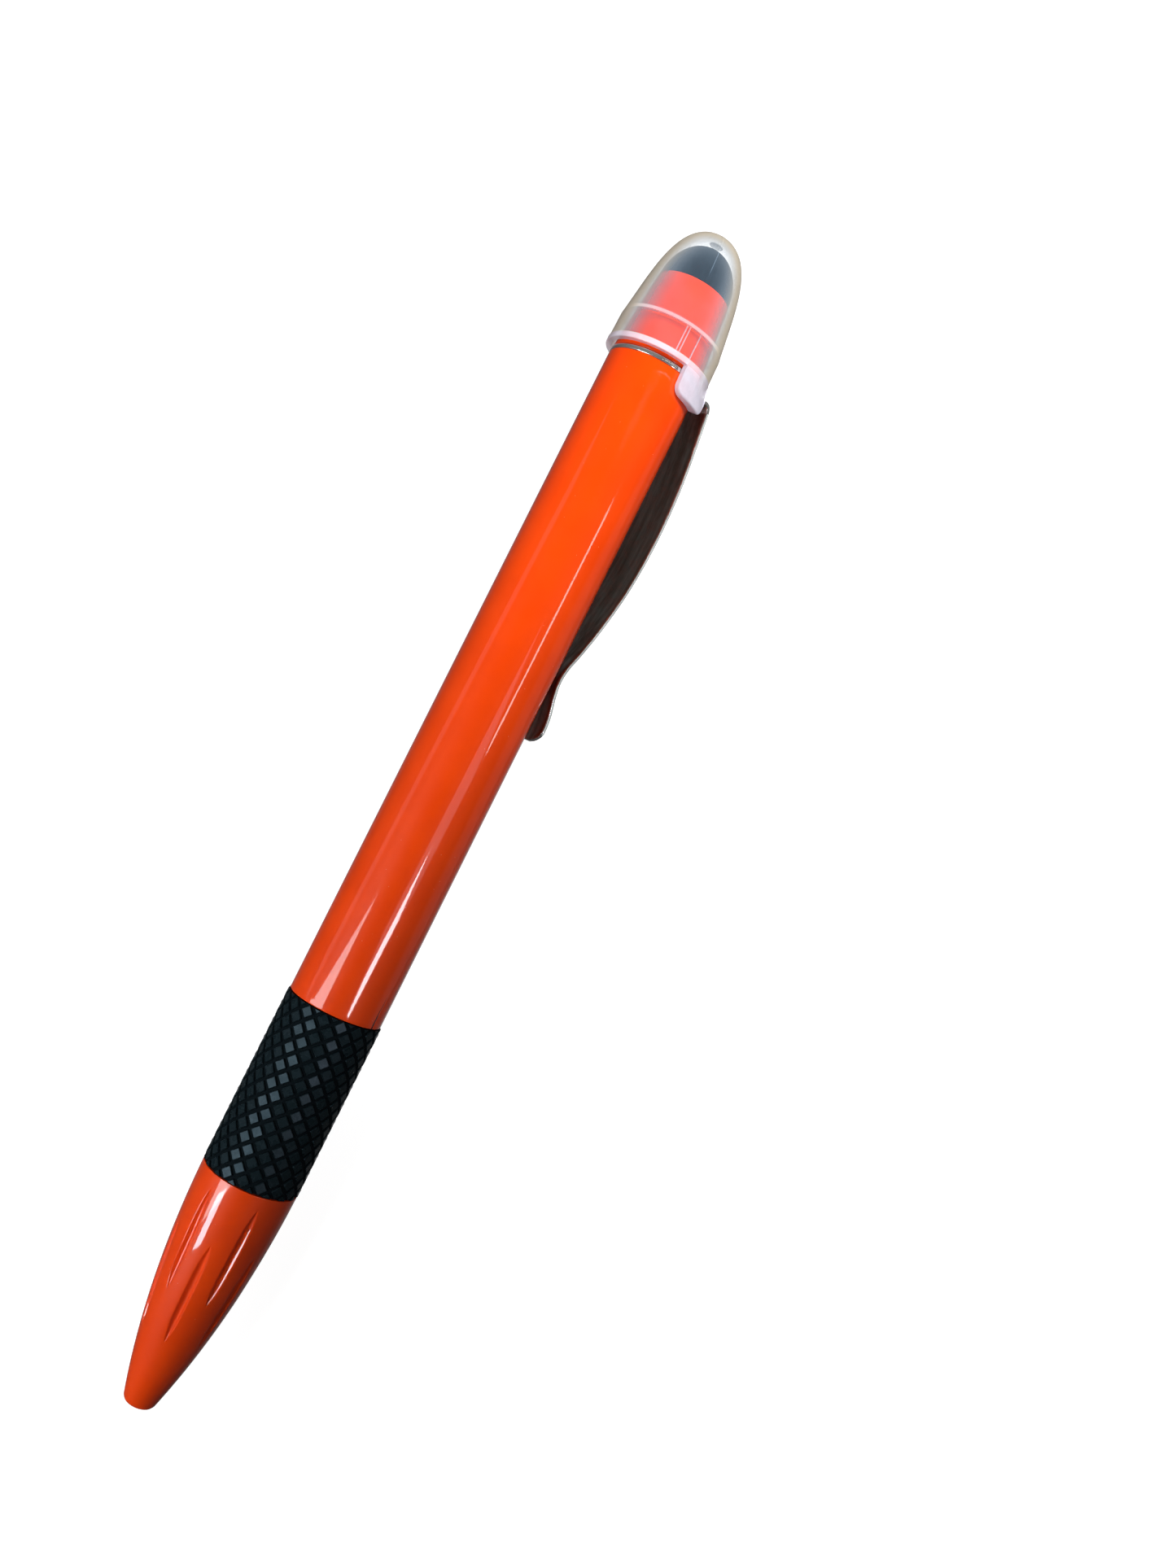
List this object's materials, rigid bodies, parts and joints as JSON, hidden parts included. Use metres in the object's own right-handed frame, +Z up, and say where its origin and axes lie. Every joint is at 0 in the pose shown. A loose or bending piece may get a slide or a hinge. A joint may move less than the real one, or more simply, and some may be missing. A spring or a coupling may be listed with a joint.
{
  "type": "counterfeit detector pen",
  "caption": "Slim metal pen with a twist-action ballpoint at one end, a domed detector marker nib under a clear push-on cap at the other, a knurled rubber grip and a sprung sheet clip.",
  "frame": {"origin": "middle of the pen's footprint, at the level of the surface that it lies on", "axes": "+X along the pen's axis from the writing tip to the cap, +Z up with the pen lying on its side, the clip on the -Y side"},
  "size_m": [0.1402, 0.0148, 0.0138],
  "materials": {
    "lacquer": "glossy orange lacquer with a smooth clear coat",
    "grip_rubber": "moulded matt rubber with a diamond pattern of raised flat pads",
    "seal_rubber": "matt",
    "brass": "turned brass",
    "steel": "drawn wire and ground pin",
    "chrome": "bright chrome plate on sheet steel",
    "dark_plastic": "moulded",
    "white_plastic": "moulded, slightly milky",
    "clear_plastic": "frosted clear moulding",
    "nib_felt": "bonded fibre, dark with detector ink",
    "fibre": "bonded fibre rod, stained with detector ink",
    "ink": "paste ink",
    "grease": "clear grease"
  },
  "bodies": {
    "barrel": {"barrel_tube": "lacquer", "barrel_bush": "brass", "cam_sleeve": "dark_plastic", "mechanism_plug": "dark_plastic", "reservoir_cup": "white_plastic", "fibre_reservoir": "fibre", "wick": "fibre", "nib_holder": "white_plastic", "collar": "lacquer", "domed_nib": "nib_felt", "clip_ring": "chrome"},
    "front_section": {"nose_cone": "lacquer", "grip_sleeve": "grip_rubber", "section_tube": "brass", "friction_ring": "seal_rubber", "retaining_clip": "steel", "drive_tube": "white_plastic"},
    "carriage": {"refill_tip": "brass", "writing_ball": "steel", "refill_tube": "white_plastic", "ink_column": "ink", "ink_follower": "grease", "return_spring": "steel", "plunger": "dark_plastic", "cross_pin": "steel"},
    "clip": {"clip_arm": "chrome"},
    "cap": {"cap": "clear_plastic"}
  },
  "joints": [
    {"name": "front_twist", "type": "hinge", "parent": "barrel", "child": "front_section", "pos_m": [-0.0239, 0.00127, 0.00766], "axis": [1, 0, 0], "range_deg": [0, 180]},
    {"name": "refill_slide", "type": "slide", "parent": "front_section", "child": "carriage", "axis": [-1, 0, 0], "range_m": [0, 0.006], "deforming": ["return_spring"]},
    {"name": "clip_flex", "type": "hinge", "parent": "barrel", "child": "clip", "pos_m": [0.0532, -0.00369, 0.00378], "axis": [0, -0.6157, 0.788], "range_deg": [0, 4], "stiffness_Nm_per_rad": 2.5},
    {"name": "cap_pull", "type": "slide", "parent": "barrel", "child": "cap", "axis": [1, 0, 0], "range_m": [0, 0.022]}
  ],
  "couplings": [
    {"joint": "refill_slide", "follows": "front_twist", "m_per_rad": 0.0019099}
  ]
}
